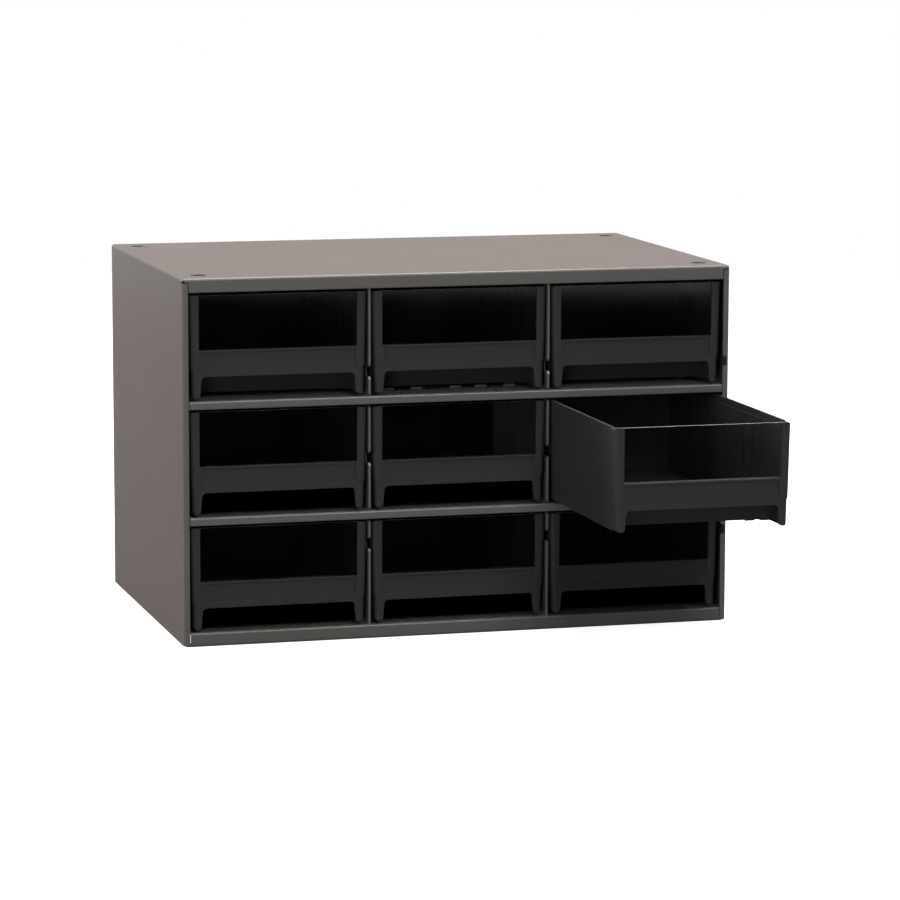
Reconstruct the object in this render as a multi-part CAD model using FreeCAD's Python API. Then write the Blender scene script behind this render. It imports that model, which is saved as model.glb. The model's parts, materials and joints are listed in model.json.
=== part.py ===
import FreeCAD
import Part

import math
import os

# Small-parts cabinet: a welded sheet-steel case with nine moulded drawers.
# Millimetres. +X is to the right seen from the front, +Y goes to the back, +Z is up.
# The origin is the middle of the case's footprint, on the surface it stands on.

# Drawer

drawer_width = 137.0
drawer_length = 268.3
drawer_height = 77.4
wall = 1.8
draft_degrees = 1.2
rear_corner_chamfer = 3.0
rim_band_height = 5.0
rim_band_step = 0.6

# Drawer floor: raised in the middle, lower along both sides

floor_rise = 1.8
side_strip_width = 11.0
runner_height = 2.2
runner_width = 3.0
runner_inset = 9.0
runner_start = 50.0
runner_lead = 2.0

# Drawer front: two posts, a label bar between them and a finger arch under the bar

frame_depth = 14.0
frame_proud = 0.4
frame_thickness = 4.0
frame_edge_radius = 3.5
post_width = 7.5
post_top_radius = 2.6
cheek_thickness = 2.2
bar_top = 35.8
ridge_level = 20.5
leg_step = 0.6
leg_setback = 0.3
leg_width_top = 7.6
leg_width_foot = 6.1
leg_foot_radius = 2.6
arch_top = 16.0
arch_radius = 3.5
label_margin = 8.8
label_depth = 1.2
label_top_lip = 1.4
web_thickness = 2.0
web_drop = 0.8
locator_width = 7.5
locator_drop = 1.2
locator_from_side = 18.0

# Clear window, held in grooves in the posts and the bar

pane_thickness = 1.4
pane_play = 0.1
pane_setback = 1.4
pane_grip = 2.2

# Grooves for cross dividers inside the drawer, mirrored about its middle

groove_offsets = (0.0, 38.0, 57.0, 76.0)
groove_width = 1.8
groove_middle = 132.0

# Rear stop

stop_width = 30.0
stop_taper = 3.0
stop_engagement = 3.0
stop_play = 0.3

# Running gaps between drawers and case

drawer_side_gap = 1.2
drawer_top_gap = 2.2
runner_gap = 0.2
drawer_recess = 3.0
drawer_rear_gap = 0.7

# The right-hand drawer of the middle row stands pulled out

pulled_out = 158.0

# Case

rows = 3
columns = 3
sheet = 0.9
bend_radius = 1.3
lip_bend_radius = 0.4
side_return = 4.8
shelf_lip = 6.0
top_lip = 11.0
floor_level = 10.4
hem_height = 3.0
foot_return = 12.0
side_lift = 1.0
back_inset = 6.5
return_gap = 0.6
shelf_flange = 6.0

# Dividers

divider_hem_width = 2.0
divider_hem_depth = 9.0
divider_hem_chamfer = 0.6
notch_height = 8.0
notch_depth = 11.0
notch_below_shelf = 3.7
return_notch_depth = 3.2
slot_play = 0.2
half_lap = 140.0

# Unused divider positions pierced in the floor and the shelves

key_fractions = (2 / 5, 3 / 7, 1 / 2, 4 / 7, 3 / 5)
key_lug_sides = (-1, 1, 1, -1, 1)
key_slot_start = 7.0
key_slot_length = 13.0
key_slot_width = 1.2
lug_width = 9.2
lug_height = 1.5
lug_setback = 34.0

# Stacking dimples in the top

dimple_radius = 6.25
dimple_depth = 1.15
dimple_side_inset = 17.5
dimple_end_inset = 22.0

# Sizes that follow from the ones above

outer_radius = bend_radius + sheet
draft = math.tan(math.radians(draft_degrees))
floor_clear = runner_gap + runner_height
row_opening = floor_clear + drawer_height + drawer_top_gap
row_pitch = row_opening + shelf_lip
column_opening = drawer_width + 2 * drawer_side_gap
column_pitch = column_opening + divider_hem_width
case_width = 2 * side_return + columns * column_opening + (columns - 1) * divider_hem_width
case_height = floor_level + rows * row_opening + (rows - 1) * shelf_lip + top_lip
inner_depth = drawer_recess + drawer_length + drawer_rear_gap
case_depth = inner_depth + sheet + back_inset
half_width = case_width / 2
front = -case_depth / 2
inner_rear = front + inner_depth
stop_rise = row_opening + stop_engagement - floor_clear - drawer_height
stop_travel = drawer_recess + drawer_length - wall - 2 * sheet - stop_play
slot_pitch = rows * row_pitch / (rows + 1)

ROW_NAMES = ("bottom", "middle", "top")
COLUMN_NAMES = ("left", "centre", "right")
PULLED = ("middle", "right")

X = FreeCAD.Vector(1, 0, 0)
Y = FreeCAD.Vector(0, 1, 0)
Z = FreeCAD.Vector(0, 0, 1)


# Outline helpers

def rounded_outline(points, radii):
    """Closed wire through the points, each corner rounded by an arc of its radius."""
    count = len(points)
    starts = []
    ends = []
    middles = []
    for i in range(count):
        corner = points[i]
        before = (points[i - 1] - corner).normalize()
        after = (points[(i + 1) % count] - corner).normalize()
        radius = radii[i]
        if radius <= 0:
            starts.append(corner)
            ends.append(corner)
            middles.append(None)
            continue
        half = before.getAngle(after) / 2
        reach = radius / math.tan(half)
        bisector = (before + after).normalize()
        centre = corner + bisector * (radius / math.sin(half))
        starts.append(corner + before * reach)
        ends.append(corner + after * reach)
        middles.append(centre - bisector * radius)
    edges = []
    for i in range(count):
        if middles[i] is not None:
            edges.append(Part.Arc(starts[i], middles[i], ends[i]).toShape())
        target = starts[(i + 1) % count]
        if ends[i].distanceToPoint(target) > 1e-6:
            edges.append(Part.LineSegment(ends[i], target).toShape())
    return Part.Wire(edges)


def prism_along_x(profile, start, length):
    """Solid from (y, z, radius) corners, swept along X."""
    points = [FreeCAD.Vector(start, y, z) for y, z, _ in profile]
    wire = rounded_outline(points, [radius for _, _, radius in profile])
    return Part.Face(wire).extrude(X * length)


def prism_along_y(profile, start, length):
    """Solid from (x, z, radius) corners, swept along Y."""
    points = [FreeCAD.Vector(x, start, z) for x, z, _ in profile]
    wire = rounded_outline(points, [radius for _, _, radius in profile])
    return Part.Face(wire).extrude(Y * length)


def prism_along_z(profile, start, length):
    """Solid from (x, y, radius) corners, swept along Z."""
    points = [FreeCAD.Vector(x, y, start) for x, y, _ in profile]
    wire = rounded_outline(points, [radius for _, _, radius in profile])
    return Part.Face(wire).extrude(Z * length)


def block(x0, x1, y0, y1, z0, z1):
    """Box between two opposite corners."""
    return Part.makeBox(x1 - x0, y1 - y0, z1 - z0, FreeCAD.Vector(x0, y0, z0))


def mirrored_x(shape):
    """Copy of a shape on the other side of the YZ plane."""
    return shape.mirror(FreeCAD.Vector(0, 0, 0), X)


def joined(shapes):
    """One clean solid from touching shapes."""
    return shapes[0].multiFuse(shapes[1:]).removeSplitter()


# Drawer tray, in its own place: x = 0 in the middle, y = 0 at the front face,
# z = 0 at the feet of the posts

def side_wall_x(level):
    """Outer half width of the tray behind its front frame, at a height."""
    return drawer_width / 2 - frame_proud - draft * (drawer_height - level)


def post_x(level):
    """Outer half width of the posts, at a height."""
    return side_wall_x(level) + frame_proud


def leg_x(level):
    """Outer half width of the legs under the ridge, at a height."""
    return post_x(level) - leg_step


def tray_section():
    """Outer outline of the tray across its width, with the stepped floor."""
    strip = side_wall_x(0) - side_strip_width
    step = strip - floor_rise
    return [
        (-side_wall_x(0), 0, 0),
        (-strip, 0, 0),
        (-step, floor_rise, 0),
        (step, floor_rise, 0),
        (strip, 0, 0),
        (side_wall_x(0), 0, 0),
        (side_wall_x(drawer_height), drawer_height, 0),
        (-side_wall_x(drawer_height), drawer_height, 0),
    ]


def cavity_section(thickness, low):
    """Inner outline of the tray from a height upwards, a wall's thickness inside the outer one."""
    top = drawer_height + 1
    return [
        (-side_wall_x(low) + thickness, low, 0),
        (side_wall_x(low) - thickness, low, 0),
        (side_wall_x(top) - thickness, top, 0),
        (-side_wall_x(top) + thickness, top, 0),
    ]


def strip_section(thickness):
    """Outline of the lower strip along one side of the floor, inside the tray."""
    inner = side_wall_x(0) - side_strip_width
    level = wall + floor_rise
    return [
        (inner, wall, 0),
        (side_wall_x(wall) - thickness, wall, 0),
        (side_wall_x(level) - thickness, level, 0),
        (inner - floor_rise, level, 0),
    ]


def upright_edges(shape, y):
    """Edges of a prism that climb its full height at one end."""
    found = []
    for edge in shape.Edges:
        low = min(vertex.Z for vertex in edge.Vertexes)
        high = max(vertex.Z for vertex in edge.Vertexes)
        at_end = all(abs(vertex.Y - y) < 1e-6 for vertex in edge.Vertexes)
        if at_end and high - low > drawer_height / 2:
            found.append(edge)
    return found


def tray_shell():
    """Open box behind the front frame, with a thinner band along its rim."""
    setback = frame_depth - wall
    length = drawer_length - wall - frame_depth
    outer = prism_along_y(tray_section(), setback, drawer_length - setback)
    outer = outer.makeChamfer(rear_corner_chamfer, upright_edges(outer, drawer_length))
    thick = wall + rim_band_step
    strip = prism_along_y(strip_section(thick), frame_depth, length)
    inner = prism_along_y(cavity_section(thick, wall + floor_rise), frame_depth, length)
    band = prism_along_y(cavity_section(wall, drawer_height - rim_band_height), frame_depth, length)
    return outer.cut(joined([inner, band, strip, mirrored_x(strip)]))


def frame_rounding(corner_x, face, low, high):
    """Cutter that rounds one upright front edge of the frame and leans with its draft."""
    radius = frame_edge_radius
    height = high - low
    bar = block(-radius, radius, -radius, radius, -radius, height + radius)
    core = Part.makeCylinder(radius, height + 4 * radius, FreeCAD.Vector(-radius, radius, -2 * radius))
    cutter = bar.cut(core).rotate(FreeCAD.Vector(0, 0, 0), Y, draft_degrees)
    return cutter.translated(FreeCAD.Vector(corner_x, face, low))


def frame_hollow(outer_x, low, high):
    """Space behind the face of the frame, between its two cheeks."""
    profile = [
        (-outer_x(low) + cheek_thickness, low, 0),
        (outer_x(low) - cheek_thickness, low, 0),
        (outer_x(high) - cheek_thickness, high, 0),
        (-outer_x(high) + cheek_thickness, high, 0),
    ]
    return prism_along_y(profile, frame_thickness, frame_depth)


def rounded_frame(profile, outer_x, face, low, high):
    """Frame cut from its front outline, rounded at both front edges and hollow behind."""
    frame = prism_along_y(profile, face, frame_depth - wall - face)
    rounding = frame_rounding(outer_x(low), face, low, high)
    return frame.cut(rounding).cut(mirrored_x(rounding)).cut(frame_hollow(outer_x, low - 1, high + 1))


def upper_frame():
    """Posts and label bar above the ridge, with their cheeks."""
    gap = drawer_width / 2 - post_width
    profile = [
        (-post_x(ridge_level), ridge_level, 0),
        (post_x(ridge_level), ridge_level, 0),
        (post_x(drawer_height), drawer_height, post_top_radius),
        (gap, drawer_height, 0),
        (gap, bar_top, 0),
        (-gap, bar_top, 0),
        (-gap, drawer_height, 0),
        (-post_x(drawer_height), drawer_height, post_top_radius),
    ]
    return rounded_frame(profile, post_x, 0, ridge_level, drawer_height)


def lower_frame():
    """Two legs under the ridge with the finger arch between them."""
    foot = leg_x(0) - leg_width_foot
    shoulder = leg_x(arch_top) - leg_width_top
    profile = [
        (-leg_x(0), 0, leg_foot_radius),
        (-foot, 0, leg_foot_radius),
        (-shoulder, arch_top, arch_radius),
        (shoulder, arch_top, arch_radius),
        (foot, 0, leg_foot_radius),
        (leg_x(0), 0, leg_foot_radius),
        (leg_x(ridge_level), ridge_level, 0),
        (-leg_x(ridge_level), ridge_level, 0),
    ]
    return rounded_frame(profile, leg_x, leg_setback, 0, ridge_level)


def front_gap():
    """Space above the web, where the inside of the tray reaches forward to the frame."""
    low = bar_top - web_drop
    top = drawer_height + 1
    reach = wall + rim_band_step
    profile = [
        (-side_wall_x(low) + reach, low, 0),
        (side_wall_x(low) - reach, low, 0),
        (side_wall_x(top) - reach, top, 0),
        (-side_wall_x(top) + reach, top, 0),
    ]
    return prism_along_y(profile, frame_thickness, frame_depth)


def label_recess():
    """Shallow pocket in the face of the bar for a label card."""
    half = drawer_width / 2 - label_margin
    return block(-half, half, -1, label_depth, ridge_level, bar_top - label_top_lip)


def pane_groove():
    """Slot in the posts and the bar that takes the clear window."""
    half = drawer_width / 2 - post_width + pane_grip
    back = pane_setback + pane_thickness + 2 * pane_play
    return block(-half, half, pane_setback, back, bar_top - pane_grip, drawer_height + 1)


def web():
    """Roof of the finger recess, from the bar back to the set-back wall."""
    top = bar_top - web_drop
    half = post_x(top) - cheek_thickness
    return block(-half, half, frame_thickness, frame_depth, top - web_thickness, top)


def divider_grooves():
    """Upright grooves in the thick part of both side walls, that hold cross dividers."""
    low = wall + floor_rise
    high = drawer_height - rim_band_height
    profile = [
        (side_wall_x(low) - wall, low, 0),
        (side_wall_x(high) - wall, high, 0),
        (side_wall_x(high) - 2 * wall, high, 0),
        (side_wall_x(low) - 2 * wall, low, 0),
    ]
    grooves = []
    for place in sorted({groove_middle + sign * offset for offset in groove_offsets for sign in (-1, 1)}):
        groove = prism_along_y(profile, place - groove_width / 2, groove_width)
        grooves += [groove, mirrored_x(groove)]
    return grooves


def runner():
    """Rib under one side of the floor that slides on the shelf."""
    inner = side_wall_x(0) - runner_inset - runner_width
    end = drawer_length - wall
    profile = [
        (runner_start, wall / 2, 0),
        (runner_start, 0, 0),
        (runner_start + runner_lead, -runner_height, 0),
        (end - runner_lead, -runner_height, 0),
        (end, 0, 0),
        (end, wall / 2, 0),
    ]
    return prism_along_x(profile, inner, runner_width)


def rear_stop():
    """Raised tab on the rear wall that meets the lip above when the drawer is fully out."""
    low = drawer_height - wall
    high = drawer_height + stop_rise
    half = stop_width / 2
    profile = [
        (-half, low, 0),
        (half, low, 0),
        (half - stop_taper, high, 0),
        (stop_taper - half, high, 0),
    ]
    return prism_along_y(profile, drawer_length - wall, wall)


def locator():
    """Small tab under the set-back wall, near its right-hand end."""
    right = side_wall_x(0) - locator_from_side
    setback = frame_depth - wall
    low = floor_rise - locator_drop
    return block(right - locator_width, right, setback, frame_depth, low, floor_rise + wall / 2)


def drawer_moulding():
    """Whole moulded drawer, without its window."""
    tray = joined([
        tray_shell().cut(front_gap()),
        upper_frame(),
        lower_frame(),
        web(),
        locator(),
        runner(),
        mirrored_x(runner()),
        rear_stop(),
    ])
    for groove in divider_grooves():
        tray = tray.cut(groove)
    return tray.cut(label_recess()).cut(pane_groove())


def frame_space():
    """Space that holds the front frame of a drawer, back to its set-back wall."""
    half = drawer_width / 2
    return block(-half, half, 0, frame_depth, 0, drawer_height)


def drawer_window():
    """Clear flat pane that closes the front of the drawer above the bar."""
    half = drawer_width / 2 - post_width + pane_grip - pane_play
    start = pane_setback + pane_play
    low = bar_top - pane_grip + pane_play
    return block(-half, half, start, start + pane_thickness, low, drawer_height - pane_play)


# Case of folded sheet steel. Sections are written from the front face and the top surface.

def lip_profile(lip, bend, back):
    """Front lip with a closed hem, and a flat top back to a given depth."""
    return [
        (front, 0, bend + sheet),
        (front, -lip, sheet),
        (front + 2 * sheet, -lip, 0),
        (front + 2 * sheet, hem_height - lip, 0),
        (front + sheet, hem_height - lip, 0),
        (front + sheet, -sheet, bend),
    ] + back


def raised(profile, level):
    """Section moved up to its level."""
    return [(y, z + level, radius) for y, z, radius in profile]


def shelf_top(row):
    """Height of the surface that a row of drawers runs on."""
    return floor_level + row * row_pitch


def divider_places():
    """X of the sheet's middle in each divider."""
    return [(i - (columns - 2) / 2) * column_pitch for i in range(columns - 1)]


def corner_clearance(low, high):
    """Blocks that trim the front corners of a shelf to pass behind the side returns."""
    inner = half_width - side_return - return_gap
    depth = outer_radius
    cut = block(inner, half_width, front - 1, front + depth, low, high)
    return [cut, mirrored_x(cut)]


def add_keys(surface, level):
    """Short slots and raised lugs for dividers in other column layouts."""
    for fraction, side in zip(key_fractions, key_lug_sides):
        x = (fraction - 1 / 2) * case_width
        start = front + key_slot_start
        slot = block(x - key_slot_width / 2, x + key_slot_width / 2,
                     start, start + key_slot_length, level - 2 * sheet, level + sheet)
        surface = surface.cut(slot)
        near = x + side * key_slot_width / 2
        far = near + side * lug_width
        lug = block(min(near, far), max(near, far), front + lug_setback,
                    front + lug_setback + sheet, level - sheet, level + lug_height)
        surface = surface.fuse(lug)
    return surface.removeSplitter()


def side_flanges(level, drop):
    """Plate whose ends turn down along the sides of the case."""
    outer = half_width - sheet
    inner = outer - sheet
    profile = [
        (-outer, level - drop, 0),
        (-outer, level, sheet),
        (outer, level, sheet),
        (outer, level - drop, 0),
        (inner, level - drop, 0),
        (inner, level - sheet, 0),
        (-inner, level - sheet, 0),
        (-inner, level - drop, 0),
    ]
    return prism_along_y(profile, front + foot_return, inner_depth - 2 * foot_return)


def shelf(row):
    """Shelf with a hemmed front lip, downturned ends and half-lap slots for the dividers."""
    level = shelf_top(row)
    outer = half_width - outer_radius
    back = [(inner_rear, -sheet, 0), (inner_rear, 0, 0)]
    plate = prism_along_x(raised(lip_profile(shelf_lip, lip_bend_radius, back), level), -outer, 2 * outer)
    plate = joined([plate, side_flanges(level, shelf_flange)])
    for cut in corner_clearance(level - shelf_lip - 1, level + 1):
        plate = plate.cut(cut)
    half_slot = sheet / 2 + slot_play
    for x in divider_places():
        slot = block(x - half_slot, x + half_slot, front + half_lap - slot_play, inner_rear + 1,
                     level - shelf_lip, level + 1)
        plate = plate.cut(slot)
    return add_keys(plate, level)


def bottom_pan():
    """Floor of the case, folded down all round, with returns that it stands on."""
    foot = sheet - floor_level
    profile = [
        (front, 0, lip_bend_radius + sheet),
        (front, -floor_level, outer_radius),
        (front + foot_return, -floor_level, 0),
        (front + foot_return, foot, 0),
        (front + sheet, foot, bend_radius),
        (front + sheet, -sheet, lip_bend_radius),
        (inner_rear - sheet, -sheet, bend_radius),
        (inner_rear - sheet, foot, bend_radius),
        (inner_rear - foot_return, foot, 0),
        (inner_rear - foot_return, -floor_level, 0),
        (inner_rear, -floor_level, outer_radius),
        (inner_rear, 0, outer_radius),
    ]
    outer = half_width - outer_radius
    pan = prism_along_x(raised(profile, floor_level), -outer, 2 * outer)
    pan = joined([pan, side_flanges(floor_level, floor_level)])
    for cut in corner_clearance(-1, floor_level + 1):
        pan = pan.cut(cut)
    return add_keys(pan, floor_level)


def divider_notch(level):
    """Cut in the front edge of a divider for a shelf lip, tapered at 45 degrees."""
    start = front + drawer_recess
    low = level - notch_below_shelf - notch_height / 2
    high = low + notch_height
    taper = divider_hem_width
    profile = [
        (start - 1, low - taper - 1, 0),
        (start + taper, low, 0),
        (start + notch_depth, low, 0),
        (start + notch_depth, high, 0),
        (start + taper, high, 0),
        (start - 1, high + taper + 1, 0),
    ]
    return prism_along_x(profile, -column_pitch / 2, column_pitch)


def divider(x):
    """Upright partition with a hemmed front edge, notched and slotted for the shelves."""
    start = front + drawer_recess
    top = case_height - sheet
    hem_half = divider_hem_width / 2
    nose_half = hem_half - divider_hem_chamfer
    profile = [
        (-hem_half, start + divider_hem_chamfer, 0),
        (-nose_half, start, 0),
        (nose_half, start, 0),
        (hem_half, start + divider_hem_chamfer, 0),
        (hem_half, start + divider_hem_depth, 0),
        (sheet / 2, start + divider_hem_depth, 0),
        (sheet / 2, inner_rear, 0),
        (-sheet / 2, inner_rear, 0),
        (-sheet / 2, start + divider_hem_depth, 0),
        (-hem_half, start + divider_hem_depth, 0),
    ]
    plate = prism_along_z(profile, floor_level, top - floor_level)
    for row in range(1, rows):
        level = shelf_top(row)
        slot = block(-hem_half, hem_half, start, front + half_lap,
                     level - sheet - slot_play, level + slot_play)
        plate = plate.cut(divider_notch(level)).cut(slot)
    for place in range(1, rows + 1):
        plate = plate.cut(divider_notch(floor_level + place * slot_pitch))
    plate.translate(FreeCAD.Vector(x, 0, 0))
    return plate


def channel(low, high):
    """Section of the back panel between two edges, both folded backwards."""
    rear = inner_rear + sheet + back_inset
    return [
        (low, rear, 0),
        (low, inner_rear, outer_radius),
        (high, inner_rear, outer_radius),
        (high, rear, 0),
        (high - sheet, rear, 0),
        (high - sheet, inner_rear + sheet, bend_radius),
        (low + sheet, inner_rear + sheet, bend_radius),
        (low + sheet, rear, 0),
    ]


def back_panel():
    """Sheet set into the rear of the case, its four edges folded backwards, corners open."""
    outer = half_width - sheet
    top = case_height - sheet
    height = top - side_lift
    sides = prism_along_z(channel(-outer, outer), side_lift + outer_radius, height - 2 * outer_radius)
    profile = [(y, z, radius) for z, y, radius in channel(side_lift, top)]
    ends = prism_along_x(profile, outer_radius - outer, 2 * (outer - outer_radius))
    return joined([sides, ends])


def shell_wrap():
    """Top and both sides, folded from one sheet."""
    inner = half_width - sheet
    profile = [
        (-half_width, side_lift, 0),
        (-half_width, case_height, outer_radius),
        (half_width, case_height, outer_radius),
        (half_width, side_lift, 0),
        (inner, side_lift, 0),
        (inner, case_height - sheet, bend_radius),
        (-inner, case_height - sheet, bend_radius),
        (-inner, side_lift, 0),
    ]
    return prism_along_y(profile, front + outer_radius, case_depth - outer_radius)


def shell_lip():
    """Front lip of the top, trimmed to sit between the side returns."""
    back = [(front + outer_radius, -sheet, 0), (front + outer_radius, 0, 0)]
    half = half_width - outer_radius
    lip = prism_along_x(raised(lip_profile(top_lip, bend_radius, back), case_height), -half, 2 * half)
    edge = half_width - side_return - return_gap
    trim = block(edge, half_width, front - 1, front + outer_radius + 1,
                 case_height - top_lip - 1, case_height - outer_radius - sheet)
    return lip.cut(trim).cut(mirrored_x(trim))


def shell_return():
    """Narrow inward fold along the front edge of one side."""
    inner = half_width - side_return
    profile = [
        (half_width, front, outer_radius),
        (inner, front, 0),
        (inner, front + sheet, 0),
        (half_width - sheet, front + sheet, bend_radius),
        (half_width - sheet, front + outer_radius, 0),
        (half_width, front + outer_radius, 0),
    ]
    top = case_height - outer_radius - sheet - return_gap
    return prism_along_z(profile, side_lift, top - side_lift)


def shell_corner():
    """Rounded front corner where the folds of the top and one side meet."""
    centre = FreeCAD.Vector(half_width - outer_radius, front + outer_radius, case_height - outer_radius)
    octant = block(centre.x, half_width, front, centre.y, centre.z, case_height)
    return Part.makeSphere(outer_radius, centre).common(octant)


def return_notch(level):
    """Tapered cut in the right-hand return at a shelf height of the four-row layout."""
    inner = half_width - side_return
    low = level - notch_below_shelf - notch_height / 2
    high = low + notch_height
    taper = divider_hem_width / 2
    profile = [
        (inner - 1, low - 1 - taper / 2, 0),
        (inner + taper, low + taper / 2, 0),
        (inner + return_notch_depth, low + taper / 2, 0),
        (inner + return_notch_depth, high - taper / 2, 0),
        (inner + taper, high - taper / 2, 0),
        (inner - 1, high + 1 + taper / 2, 0),
    ]
    return prism_along_y(profile, front - 1, outer_radius)


def dimple_places():
    """Centres of the four stacking dimples."""
    x = half_width - dimple_side_inset
    y = case_depth / 2 - dimple_end_inset
    return [(sx * x, sy * y) for sx in (-1, 1) for sy in (-1, 1)]


def dimple_cup(x, y):
    """Underside of one pressed dimple."""
    sides = 12
    radius = dimple_radius + sheet
    low = case_height - dimple_depth - sheet
    turns = [2 * math.pi * i / sides for i in range(sides + 1)]
    ring = [FreeCAD.Vector(x + radius * math.cos(t), y + radius * math.sin(t), low) for t in turns]
    return Part.Face(Part.makePolygon(ring)).extrude(Z * (dimple_depth + sheet / 2))


def outer_shell():
    """Top and sides with their front folds, the notched return and the dimples."""
    fold = shell_return()
    corner = shell_corner()
    shell = joined([shell_wrap(), shell_lip(), fold, mirrored_x(fold), corner, mirrored_x(corner)])
    for place in range(1, rows + 1):
        shell = shell.cut(return_notch(floor_level + place * slot_pitch))
    for x, y in dimple_places():
        floor = FreeCAD.Vector(x, y, case_height - dimple_depth)
        hollow = Part.makeCylinder(dimple_radius, dimple_depth + 1, floor)
        shell = shell.fuse(dimple_cup(x, y)).cut(hollow)
    return shell.removeSplitter()


# Assembly

def drawer_place(row, column):
    """Where a drawer's own origin lies in the case."""
    pulled = (ROW_NAMES[row], COLUMN_NAMES[column]) == PULLED
    x = (column - (columns - 1) / 2) * column_pitch
    y = front + drawer_recess - (pulled_out if pulled else 0)
    z = shelf_top(row) + floor_clear
    return FreeCAD.Vector(x, y, z)


def build():
    """Every piece of the cabinet by name, each where it stands."""
    pieces = {
        "outer_shell": outer_shell(),
        "back_panel": back_panel(),
        "bottom_pan": bottom_pan(),
    }
    for row, name in zip(range(1, rows), ("lower_shelf", "upper_shelf")):
        pieces[name] = shelf(row)
    for x, name in zip(divider_places(), ("left_divider", "right_divider")):
        pieces[name] = divider(x)
    moulding = drawer_moulding()
    front = moulding.common(frame_space())
    tray = moulding.cut(frame_space())
    window = drawer_window()
    for row in range(rows):
        for column in range(columns):
            place = drawer_place(row, column)
            name = ROW_NAMES[row] + "_" + COLUMN_NAMES[column]
            pieces["front_" + name] = front.copy().translated(place)
            pieces["drawer_" + name] = tray.copy().translated(place)
            pieces["window_" + name] = window.copy().translated(place)
    return pieces


os.makedirs("parts", exist_ok=True)
for node, solid in build().items():
    solid.exportStep("parts/" + node + ".step")
    box = solid.BoundBox
    print("%-22s solids %d valid %s  %7.1f x %7.1f x %7.1f  volume %.0f" % (
        node, len(solid.Solids), solid.isValid(), box.XLength, box.YLength, box.ZLength, solid.Volume))
print("case %.1f x %.1f x %.1f mm" % (case_width, case_depth, case_height))
print("drawer travel from closed to its stop %.1f mm" % stop_travel)
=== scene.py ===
# %% [markdown]
# # A small-parts cabinet with nine drawers
#
# The real cabinet is a case of folded, spot-welded sheet steel in grey baked enamel. It holds
# nine moulded black drawers, three to a row, each with a clear window in its front.
# The CAD model is the frame: it is loaded first, it is never moved, and every finish and
# every finer piece below is fitted to it. All lengths are in metres.

# %% Load the frame
import json
import math

import bmesh
import bpy
from mathutils import Matrix, Vector


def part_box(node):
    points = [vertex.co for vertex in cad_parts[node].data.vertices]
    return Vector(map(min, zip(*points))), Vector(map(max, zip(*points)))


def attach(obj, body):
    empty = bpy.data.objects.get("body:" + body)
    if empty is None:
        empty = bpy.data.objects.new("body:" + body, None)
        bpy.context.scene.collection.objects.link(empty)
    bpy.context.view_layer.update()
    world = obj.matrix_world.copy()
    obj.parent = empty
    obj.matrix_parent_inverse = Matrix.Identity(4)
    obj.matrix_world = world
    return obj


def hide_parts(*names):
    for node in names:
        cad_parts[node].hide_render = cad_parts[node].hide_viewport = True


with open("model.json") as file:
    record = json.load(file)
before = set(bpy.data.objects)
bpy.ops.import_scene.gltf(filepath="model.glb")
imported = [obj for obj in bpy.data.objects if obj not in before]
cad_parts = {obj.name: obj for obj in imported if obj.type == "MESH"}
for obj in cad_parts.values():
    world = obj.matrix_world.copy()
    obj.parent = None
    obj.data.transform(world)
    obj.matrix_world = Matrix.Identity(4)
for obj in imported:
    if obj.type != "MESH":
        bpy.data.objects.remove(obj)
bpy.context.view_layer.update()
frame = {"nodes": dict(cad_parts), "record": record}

nodes = frame["nodes"]
nodes_of_body = frame["record"]["behaviour"]["bodies"]
body_of_node = {node: body for body, group in nodes_of_body.items() for node in group}
scene = bpy.context.scene


# %% [markdown]
# Sizes on a drawing are in millimetres, and Blender works in metres, so one helper turns one
# into the other. Colours are written as the hex values that a paint chart gives, and a screen
# colour is not linear, so a second helper undoes the sRGB curve before a shader sees it.

# %% Units and colours
def mm(value):
    return value / 1000


def srgb(code):
    parts = [int(code[i:i + 2], 16) / 255 for i in (1, 3, 5)]
    linear = [c / 12.92 if c <= 0.04045 else ((c + 0.055) / 1.055) ** 2.4 for c in parts]
    return (*linear, 1.0)


print("mid grey", [round(c, 3) for c in srgb("#808080")])


# %% [markdown]
# The photograph was taken with a long lens from the left of the cabinet and a little above it.
# A long lens keeps upright edges nearly parallel. The camera is placed by where the case's
# corners fall in the picture, and turned in three plain steps: yaw, pitch and a trace of roll.

# %% Camera
camera_place = Vector((-0.7896, -2.9266, 0.5746))
camera_yaw = math.radians(15.659)
camera_pitch = math.radians(8.479)
camera_roll = math.radians(0.186)

camera_data = bpy.data.cameras.new("product_camera")
camera_data.lens = 153.56
camera_data.sensor_width = 36
camera = bpy.data.objects.new("product_camera", camera_data)
camera.matrix_world = (
    Matrix.Translation(camera_place)
    @ Matrix.Rotation(-camera_yaw, 4, "Z")
    @ Matrix.Rotation(math.pi / 2 - camera_pitch, 4, "X")
    @ Matrix.Rotation(camera_roll, 4, "Z")
)
scene.collection.objects.link(camera)
scene.camera = camera
print("camera", round(camera_place.length, 3), "m from the origin, lens", camera_data.lens, "mm")


# %% [markdown]
# Materials are small graphs. One helper adds a node, sets its values and wires its inputs, so
# that each finish below reads as a list of what feeds what. A Mix node has sockets for every
# kind of value, so the numbers of the ones that mix two colours are given names.

# %% One helper for shader nodes
mix_share, mix_first, mix_second = 0, 6, 7
mixed_colour = 2


def add_node(tree, kind, values=None, links=None, **settings):
    made = tree.nodes.new(kind)
    for name, value in settings.items():
        setattr(made, name, value)
    for name, value in (values or {}).items():
        made.inputs[name].default_value = value
    for name, output in (links or {}).items():
        tree.links.new(output, made.inputs[name])
    return made


def new_material(name):
    material = bpy.data.materials.new(name)
    material.use_nodes = True
    material.node_tree.nodes.clear()
    return material, material.node_tree


print("node helper ready")


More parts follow.
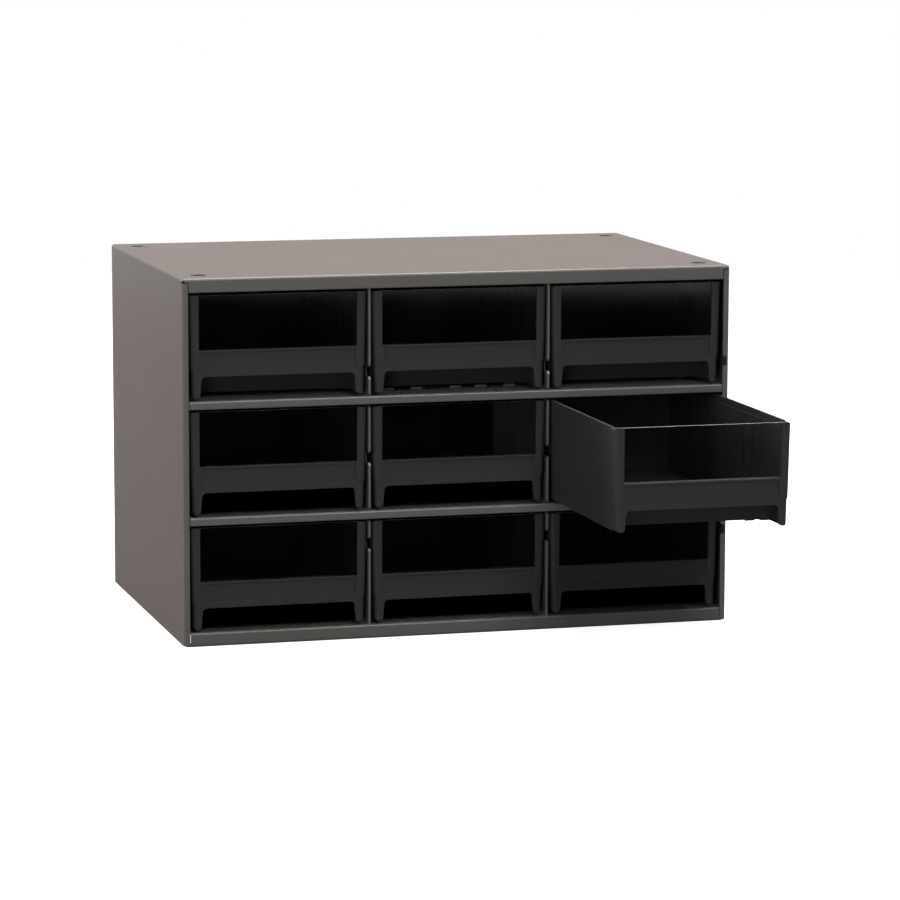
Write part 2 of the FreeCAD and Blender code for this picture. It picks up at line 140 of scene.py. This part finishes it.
# %% [markdown]
# The studio is a white sweep. Where the camera looks straight at it, it is white. The cabinet's
# own light is kept separate from that. Rays that leave the paint and the windows see the same
# sky, only dimmer, and it draws the satin sheen on the bars. The floor is near black to them,
# as if a dark cloth lay in front. That is a guess at the studio: it makes the windows black, as
# they are in the photograph. To soft light the floor is grey paper, which lights the space
# under the open drawer.

# %% What the camera sees and what lights the part
floor_radius = 2.6
floor_sides = 96
floor_glow = 0.85
floor_seen = srgb("#f2f2f2")
floor_bounce = srgb("#8a8a8a")
floor_mirrored = srgb("#101010")
room_light = 0.02
sky_mirrored = 0.3

floor_paper, tree = new_material("sweep_paper")
rays = add_node(tree, "ShaderNodeLightPath")
seen = rays.outputs["Is Camera Ray"]
mirrored = add_node(tree, "ShaderNodeMath", None,
                    {0: rays.outputs["Is Glossy Ray"], 1: rays.outputs["Is Transmission Ray"]},
                    operation="ADD", use_clamp=True)
not_seen = add_node(tree, "ShaderNodeMix", {mix_first: floor_bounce, mix_second: floor_mirrored},
                    {mix_share: mirrored.outputs[0]}, data_type="RGBA")
paper_colour = add_node(tree, "ShaderNodeMix", {mix_second: floor_seen},
                        {mix_share: seen, mix_first: not_seen.outputs[mixed_colour]},
                        data_type="RGBA")
paper = add_node(tree, "ShaderNodeBsdfDiffuse", None,
                 {"Color": paper_colour.outputs[mixed_colour]})
glow_level = add_node(tree, "ShaderNodeMath", {1: floor_glow}, {0: seen}, operation="MULTIPLY")
glow = add_node(tree, "ShaderNodeEmission", None, {"Strength": glow_level.outputs[0]})
both = add_node(tree, "ShaderNodeAddShader", None, {0: paper.outputs[0], 1: glow.outputs[0]})
add_node(tree, "ShaderNodeOutputMaterial", None, {"Surface": both.outputs[0]})

floor_mesh = bpy.data.meshes.new("floor")
ring = bmesh.new()
bmesh.ops.create_circle(ring, cap_ends=True, segments=floor_sides, radius=floor_radius)
ring.to_mesh(floor_mesh)
ring.free()
floor = bpy.data.objects.new("floor", floor_mesh)
floor_mesh.materials.append(floor_paper)
scene.collection.objects.link(floor)

scene.world = bpy.data.worlds.new("studio")
scene.world.use_nodes = True
tree = scene.world.node_tree
tree.nodes.clear()
rays = add_node(tree, "ShaderNodeLightPath")
mirrored = add_node(tree, "ShaderNodeMath", None,
                    {0: rays.outputs["Is Glossy Ray"], 1: rays.outputs["Is Transmission Ray"]},
                    operation="ADD", use_clamp=True)
off_part = add_node(tree, "ShaderNodeMapRange", {"To Min": room_light, "To Max": sky_mirrored},
                    {"Value": mirrored.outputs[0]})
level = add_node(tree, "ShaderNodeMapRange", {"To Max": 1.0},
                 {"Value": rays.outputs["Is Camera Ray"], "To Min": off_part.outputs[0]})
backdrop = add_node(tree, "ShaderNodeBackground", {"Color": (1, 1, 1, 1)},
                    {"Strength": level.outputs[0]})
add_node(tree, "ShaderNodeOutputWorld", None, {"Surface": backdrop.outputs[0]})
print("floor", 2 * floor_radius, "m across, sky seen in gloss", sky_mirrored)


# %% [markdown]
# In the photograph the top is the brightest face, the left side has about half its light and
# the front a quarter. On the front, about a third of the lamps' power is low and to the left,
# and the rest comes from higher up. The left softbox stands behind the line of the front, so
# that the case shades the side of the open drawer. It and the right one stand high enough for
# the top not to mirror them at a glancing angle when the cabinet is seen from the side. The one
# overhead is mirrored by every bend as a bright line along the lip, and a small one at the left
# does the same for the upright bend.

# %% Lamps
def softbox(name, place, aim, width, watts, colour):
    lamp_data = bpy.data.lights.new(name, "AREA")
    lamp_data.shape = "SQUARE"
    lamp_data.size = width
    lamp_data.energy = watts
    lamp_data.color = colour
    lamp = bpy.data.objects.new(name, lamp_data)
    lamp.location = place
    lamp.rotation_euler = (Vector(aim) - Vector(place)).to_track_quat("-Z", "Y").to_euler()
    scene.collection.objects.link(lamp)
    return lamp


warm = (1.0, 0.94, 0.91)
soft_white = (1.0, 0.98, 0.965)
cool = (0.78, 0.98, 1.0)
case_middle = (0, 0, 0.15)
case_upper = (0, 0, 0.25)
softbox("left_softbox", (-2.0, 1.2, 1.0), case_middle, 1.1, 52, soft_white)
softbox("right_softbox", (2.1, 0.3, 1.4), case_middle, 1.0, 9, soft_white)
softbox("upright_bend_softbox", (-2.2, -0.5, 0.5), case_middle, 0.4, 4, soft_white)
softbox("low_softbox", (-1.5, -2.5, 0.55), case_middle, 1.0, 10, cool)
softbox("front_softbox", (0.3, -2.5, 1.9), case_middle, 0.9, 19, cool)
softbox("top_softbox", (0.3, 0.0, 2.2), case_upper, 1.2, 55, warm)
scene.view_settings.view_transform = "Standard"


# %% [markdown]
# The case is sheet steel in grey baked enamel. Sprayed enamel flows out before it is baked,
# so it is smooth with a faint orange peel a few millimetres across. A noise at that real size
# drives the bump. A much larger noise stands for the thickness of the coat, and shifts both the
# colour and the roughness by a little.

# %% Grey baked enamel
enamel_colour = "#7f7773"
enamel_thick_coat = "#7a726e"
orange_peel = mm(2.5)
coat_patch = mm(60)
enamel_smoothest, enamel_roughest = 0.29, 0.37

enamel, tree = new_material("baked_enamel_on_steel")
place = add_node(tree, "ShaderNodeTexCoord")
peel = add_node(tree, "ShaderNodeTexNoise",
                {"Scale": 1 / orange_peel, "Detail": 2.0, "Roughness": 0.5},
                {"Vector": place.outputs["Object"]})
patch = add_node(tree, "ShaderNodeTexNoise",
                 {"Scale": 1 / coat_patch, "Detail": 3.0, "Roughness": 0.6},
                 {"Vector": place.outputs["Object"]})
shade = add_node(tree, "ShaderNodeMix",
                 {mix_first: srgb(enamel_colour), mix_second: srgb(enamel_thick_coat)},
                 {mix_share: patch.outputs["Fac"]}, data_type="RGBA")
gloss = add_node(tree, "ShaderNodeMapRange",
                 {"To Min": enamel_smoothest, "To Max": enamel_roughest},
                 {"Value": patch.outputs["Fac"]})
bump = add_node(tree, "ShaderNodeBump", {"Strength": 0.12, "Distance": mm(0.05)},
                {"Height": peel.outputs["Fac"]})
paint = add_node(tree, "ShaderNodeBsdfPrincipled", {"IOR": 1.5},
                 {"Base Color": shade.outputs[mixed_colour], "Roughness": gloss.outputs[0],
                  "Normal": bump.outputs[0]})
add_node(tree, "ShaderNodeOutputMaterial", links={"Surface": paint.outputs[0]})
print("enamel", enamel_colour, "orange peel", orange_peel * 1000, "mm")


# %% [markdown]
# The drawers are injection-moulded polypropylene, filled with carbon black. The mould is
# spark-eroded, which leaves a fine even grain that turns the shine into a satin sheen. The
# real grain is about 0.2 mm, too fine to show at this distance, so it is drawn at 0.6 mm.

# %% Black moulded polypropylene
moulding_colour = "#393738"
moulding_dust = "#3d3a3b"
spark_grain = mm(0.6)
flow_mark = mm(45)
moulding_smoothest, moulding_roughest = 0.62, 0.74

moulding, tree = new_material("moulded_black_polypropylene")
place = add_node(tree, "ShaderNodeTexCoord")
grain = add_node(tree, "ShaderNodeTexNoise",
                 {"Scale": 1 / spark_grain, "Detail": 3.0, "Roughness": 0.6},
                 {"Vector": place.outputs["Object"]})
flow = add_node(tree, "ShaderNodeTexNoise",
                {"Scale": 1 / flow_mark, "Detail": 2.0, "Roughness": 0.5},
                {"Vector": place.outputs["Object"]})
tone = add_node(tree, "ShaderNodeMix",
                {mix_first: srgb(moulding_colour), mix_second: srgb(moulding_dust)},
                {mix_share: flow.outputs["Fac"]}, data_type="RGBA")
sheen = add_node(tree, "ShaderNodeMapRange",
                 {"To Min": moulding_smoothest, "To Max": moulding_roughest},
                 {"Value": grain.outputs["Fac"]})
bump = add_node(tree, "ShaderNodeBump", {"Strength": 0.2, "Distance": mm(0.06)},
                {"Height": grain.outputs["Fac"]})
plastic = add_node(tree, "ShaderNodeBsdfPrincipled", {"IOR": 1.49},
                   {"Base Color": tone.outputs[mixed_colour], "Roughness": sheen.outputs[0],
                    "Normal": bump.outputs[0]})
add_node(tree, "ShaderNodeOutputMaterial", links={"Surface": plastic.outputs[0]})
print("moulding", moulding_colour, "grain", spark_grain * 1000, "mm")


# %% [markdown]
# The windows are clear styrene sheet, polished on both faces. Styrene bends light more than
# glass does. The strips are sawn to height, which leaves the top edge matt and whitish, so it
# gathers light and shows as a thin bright line. It gets a finish of its own: rough, and with
# only part of the light passing through.

# %% Clear styrene
styrene_ior = 1.59
sheet_wave = mm(30)
saw_mark = mm(0.8)

styrene, tree = new_material("clear_styrene_sheet")
place = add_node(tree, "ShaderNodeTexCoord")
wave = add_node(tree, "ShaderNodeTexNoise", {"Scale": 1 / sheet_wave, "Detail": 1.0},
                {"Vector": place.outputs["Object"]})
haze = add_node(tree, "ShaderNodeMapRange", {"To Min": 0.02, "To Max": 0.06},
                {"Value": wave.outputs["Fac"]})
clear = add_node(tree, "ShaderNodeBsdfPrincipled",
                 {"Base Color": srgb("#f4f7f6"), "IOR": styrene_ior, "Transmission Weight": 1.0},
                 {"Roughness": haze.outputs[0]})
add_node(tree, "ShaderNodeOutputMaterial", links={"Surface": clear.outputs[0]})

sawn, tree = new_material("sawn_styrene_edge")
place = add_node(tree, "ShaderNodeTexCoord")
marks = add_node(tree, "ShaderNodeTexNoise", {"Scale": 1 / saw_mark, "Detail": 2.0},
                 {"Vector": place.outputs["Object"]})
frost = add_node(tree, "ShaderNodeMapRange", {"To Min": 0.55, "To Max": 0.7},
                 {"Value": marks.outputs["Fac"]})
ridges = add_node(tree, "ShaderNodeBump", {"Strength": 0.3, "Distance": mm(0.05)},
                  {"Height": marks.outputs["Fac"]})
matt = add_node(tree, "ShaderNodeBsdfPrincipled",
                {"Base Color": srgb("#c9cccb"), "IOR": styrene_ior, "Transmission Weight": 0.25},
                {"Roughness": frost.outputs[0], "Normal": ridges.outputs[0]})
add_node(tree, "ShaderNodeOutputMaterial", links={"Surface": matt.outputs[0]})
print("styrene IOR", styrene_ior, "saw marks", saw_mark * 1000, "mm")


# %% [markdown]
# CAD edges are perfectly sharp, and nothing made of paint or plastic is: a real edge is rounded
# by a few tenths of a millimetre, and that is what catches the light. Each piece below starts
# as a copy of its CAD node. Where the CAD model holds one real piece as two solids that meet
# flat, a Boolean union makes them one again, with no wall left inside. Then loose triangles are
# merged into whole flat faces for a Bevel modifier. The modifier narrows the bevel of a whole
# piece until none of it overlaps, so the widths set here are upper limits. The windows get
# theirs in full, the shelves and the back panel about two thirds. The shell, the pan, the
# dividers and the drawers have very short edges, and get a fifth or less.

# %% A finer copy of a CAD node
same_point = mm(0.002)
joined_point = mm(0.02)
flat_within = math.radians(1)
real_edge = math.radians(35)
enamel_edge = mm(0.3)


def copy_of_node(node):
    mesh = bpy.data.meshes.new(node + "_copy")
    body = bmesh.new()
    body.from_mesh(nodes[node].data)
    bmesh.ops.remove_doubles(body, verts=body.verts, dist=same_point)
    body.to_mesh(mesh)
    body.free()
    copy = bpy.data.objects.new(node + "_copy", mesh)
    scene.collection.objects.link(copy)
    return copy


def evaluated_mesh(source):
    graph = bpy.context.evaluated_depsgraph_get()
    return bpy.data.meshes.new_from_object(source.evaluated_get(graph))


def mesh_of_nodes(names, changes):
    copies = [copy_of_node(node) for node in names]
    steps = [("UNION", copy) for copy in copies[1:]] + list(changes)
    for operation, tool in steps:
        step = copies[0].modifiers.new(operation.lower(), "BOOLEAN")
        step.operation = operation
        step.solver = "EXACT"
        step.object = tool
    mesh = evaluated_mesh(copies[0])
    for tool in [copies[0]] + [tool for _, tool in steps]:
        bpy.data.meshes.remove(tool.data)
    return mesh


def finer_piece(names, name, edge_radius, material, changes=()):
    mesh = mesh_of_nodes(names, changes)
    mesh.name = name
    body = bmesh.new()
    body.from_mesh(mesh)
    bmesh.ops.remove_doubles(body, verts=body.verts, dist=joined_point)
    bmesh.ops.dissolve_limit(body, angle_limit=flat_within, verts=body.verts, edges=body.edges)
    for face in body.faces:
        face.smooth = True
    body.to_mesh(mesh)
    body.free()
    mesh.set_sharp_from_angle(angle=real_edge)
    mesh.materials.clear()
    mesh.materials.append(material)
    piece = bpy.data.objects.new(name, mesh)
    scene.collection.objects.link(piece)
    edge = piece.modifiers.new("rounded_edges", "BEVEL")
    edge.width = edge_radius
    edge.segments = 2
    edge.limit_method = "ANGLE"
    edge.angle_limit = real_edge
    edge.harden_normals = True
    edge.use_clamp_overlap = True
    flat = piece.modifiers.new("flat_faces_stay_flat", "WEIGHTED_NORMAL")
    flat.keep_sharp = True
    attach(piece, body_of_node[names[0]])
    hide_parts(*names)
    return piece


case_nodes = [node for node, body in body_of_node.items() if body == "cabinet"]
for node in case_nodes:
    finer_piece([node], node + "_enamelled", enamel_edge, enamel)
print("enamelled", case_nodes)


# %% [markdown]
# The back panel's four edges are folded backwards and spot-welded to the top, the sides and the
# pan. Each weld leaves a shallow round mark under the enamel. The marks follow a path, so
# Geometry Nodes set them out: a line runs along each folded edge and stops short of the
# corners, points are spaced evenly on it, and a low cone stands on each point, turned away from
# the fold. The rim of each cone runs a little way into the bend beside it.

# %% Spot welds round the back
weld_radius = mm(2.4)
weld_height = mm(0.15)
weld_pitch = mm(42)
corner_clear = mm(22)
weld_sides = 16
weld_top_share = 0.7
towards_back = (0, 1, 0)


def node_tree(name, inputs):
    tree = bpy.data.node_groups.new(name, "GeometryNodeTree")
    tree.interface.new_socket("Geometry", in_out="INPUT", socket_type="NodeSocketGeometry")
    for label, kind in inputs.items():
        tree.interface.new_socket(label, in_out="INPUT", socket_type=kind)
    tree.interface.new_socket("Geometry", in_out="OUTPUT", socket_type="NodeSocketGeometry")
    return tree, add_node(tree, "NodeGroupInput"), add_node(tree, "NodeGroupOutput")


tree, given, result = node_tree("marks_along_folds", {
    "Mark Radius": "NodeSocketFloat", "Mark Height": "NodeSocketFloat", "Pitch": "NodeSocketFloat",
    "Finish": "NodeSocketMaterial"})
lines = add_node(tree, "GeometryNodeMeshToCurve", links={"Mesh": given.outputs["Geometry"]})
points = add_node(tree, "GeometryNodeCurveToPoints",
                  links={"Curve": lines.outputs["Curve"], "Length": given.outputs["Pitch"]},
                  mode="LENGTH")
inwards = add_node(tree, "ShaderNodeVectorMath", {0: towards_back}, {1: points.outputs["Tangent"]},
                   operation="CROSS_PRODUCT")
turned = add_node(tree, "FunctionNodeAlignRotationToVector", None,
                  {"Vector": inwards.outputs[0]}, axis="Z")
shoulder = add_node(tree, "ShaderNodeMath", {1: weld_top_share},
                    {0: given.outputs["Mark Radius"]}, operation="MULTIPLY")
mark = add_node(tree, "GeometryNodeMeshCone", {"Vertices": weld_sides},
                {"Radius Top": shoulder.outputs[0], "Radius Bottom": given.outputs["Mark Radius"],
                 "Depth": given.outputs["Mark Height"]})
placed = add_node(tree, "GeometryNodeInstanceOnPoints", None,
                  {"Points": points.outputs["Points"], "Instance": mark.outputs["Mesh"],
                   "Rotation": turned.outputs["Rotation"]})
real = add_node(tree, "GeometryNodeRealizeInstances", None,
                {"Geometry": placed.outputs["Instances"]})
coated = add_node(tree, "GeometryNodeSetMaterial", None,
                  {"Geometry": real.outputs["Geometry"], "Material": given.outputs["Finish"]})
tree.links.new(coated.outputs["Geometry"], result.inputs["Geometry"])
print("tree", tree.name, len(tree.nodes), "nodes")


# %% [markdown]
# The lines lie on the inner faces of the folds, one steel thickness in from the panel's outer
# box. The tree's result is copied to a plain mesh, and the tree is removed from the piece.

# %% Set the welds out
steel = mm(0.9)
low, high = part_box("back_panel")
fold_middle = (low[1] + steel + high[1]) / 2
left, right = low[0] + steel, high[0] - steel
bottom, top = low[2] + steel, high[2] - steel
c = corner_clear
ends = [
    ((left, bottom + c), (left, top - c)),
    ((left + c, top), (right - c, top)),
    ((right, top - c), (right, bottom + c)),
    ((right - c, bottom), (left + c, bottom)),
]
path = bpy.data.meshes.new("fold_lines")
line_points = [(x, fold_middle, z) for line in ends for x, z in line]
path.from_pydata(line_points, [(i, i + 1) for i in range(0, len(line_points), 2)], [])
carrier = bpy.data.objects.new("fold_lines", path)
scene.collection.objects.link(carrier)
weld_maker = carrier.modifiers.new("welds", "NODES")
weld_maker.node_group = tree
values = {"Mark Radius": weld_radius, "Mark Height": weld_height, "Pitch": weld_pitch,
          "Finish": enamel}
for socket in tree.interface.items_tree:
    if socket.in_out == "INPUT" and socket.name in values:
        weld_maker[socket.identifier] = values[socket.name]
welds_mesh = evaluated_mesh(carrier)
bpy.data.objects.remove(carrier)
welds = bpy.data.objects.new("back_panel_spot_welds", welds_mesh)
scene.collection.objects.link(welds)
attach(welds, "cabinet")
print("weld marks", len(welds_mesh.polygons) // (weld_sides + 2))


# %% [markdown]
# Under the bar the moulding is scooped out for a finger. The scoop's back wall leans: its top
# is just behind the bar and its foot is 27 mm back. It was read from the photograph after the
# CAD model was finished, which has an upright wall here. The scoop is one sloping slab, added
# to the tray, and a wedge of space, taken away in front of it. Both are one outline, drawn from
# the side and given a width. They overlap the moulding a little, so that a Boolean need not cut
# exactly along a face. A small tab hangs from the foot of the slab.

# %% The finger scoop
scoop_top = (mm(12.2), mm(33))
scoop_foot = (mm(27), mm(0.9))
slab = mm(1.8)
web_top = mm(35)
wedge_half_width = mm(62.5)
slab_half_width = mm(65.5)
tab_width = mm(7.5)
tab_middle = mm(46.8)
tab_foot = mm(0.1)
overlap = mm(0.4)
below = mm(-1)


def side_outline_prism(name, outline, start, end, corner):
    body = bmesh.new()
    ends = [[body.verts.new((corner[0] + x, corner[1] + y, corner[2] + z)) for y, z in outline]
            for x in (start, end)]
    body.faces.new(ends[0])
    body.faces.new(reversed(ends[1]))
    for i in range(len(outline)):
        j = (i + 1) % len(outline)
        body.faces.new([ends[0][j], ends[0][i], ends[1][i], ends[1][j]])
    bmesh.ops.recalc_face_normals(body, faces=body.faces)
    mesh = bpy.data.meshes.new(name)
    body.to_mesh(mesh)
    body.free()
    prism = bpy.data.objects.new(name, mesh)
    scene.collection.objects.link(prism)
    return prism


def scoop_changes(front_node):
    low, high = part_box(front_node)
    corner = ((low[0] + high[0]) / 2, low[1], low[2])
    (top_y, top_z), (foot_y, foot_z) = scoop_top, scoop_foot
    lean = (foot_y - top_y) / (top_z - foot_z)
    solid = [(top_y + overlap, foot_z), (foot_y + slab, foot_z), (top_y + slab, web_top),
             (top_y + overlap, web_top)]
    space = [(top_y - overlap, below), (foot_y + lean * (foot_z - below), below), (top_y, top_z),
             (top_y - overlap, top_z)]
    tab = [(foot_y + overlap, tab_foot), (foot_y + slab - overlap, tab_foot),
           (foot_y + slab - overlap, foot_z + overlap), (foot_y + overlap, foot_z + overlap)]
    tab_left, tab_right = tab_middle - tab_width / 2, tab_middle + tab_width / 2
    half = wedge_half_width
    return [
        ("UNION", side_outline_prism("slab", solid, -slab_half_width, slab_half_width, corner)),
        ("DIFFERENCE", side_outline_prism("space", space, -half, half, corner)),
        ("UNION", side_outline_prism("tab", tab, tab_left, tab_right, corner)),
    ]


print("scoop", [round(1000 * v, 1) for v in scoop_top + scoop_foot], "mm")


# %% [markdown]
# Every drawer is the same moulding, so one loop finishes all nine. The CAD model holds each
# moulding as a front frame and a tray; here the two are joined into the one piece that they
# are. On each window, the faces that look straight up are the sawn ones.

# %% Drawers and windows
moulding_edge = mm(0.25)
pane_edge = mm(0.15)
looks_up = 0.9
for body, group in nodes_of_body.items():
    if body == "cabinet":
        continue
    mouldings = [node for node in group if not node.startswith("window_")]
    window = next(node for node in group if node.startswith("window_"))
    front_node = next(node for node in group if node.startswith("front_"))
    finer_piece(mouldings, body + "_moulded", moulding_edge, moulding,
                scoop_changes(front_node))
    pane = finer_piece([window], window + "_clear", pane_edge, styrene)
    pane.data.materials.append(sawn)
    for face in pane.data.polygons:
        face.material_index = int(face.normal.z > looks_up)
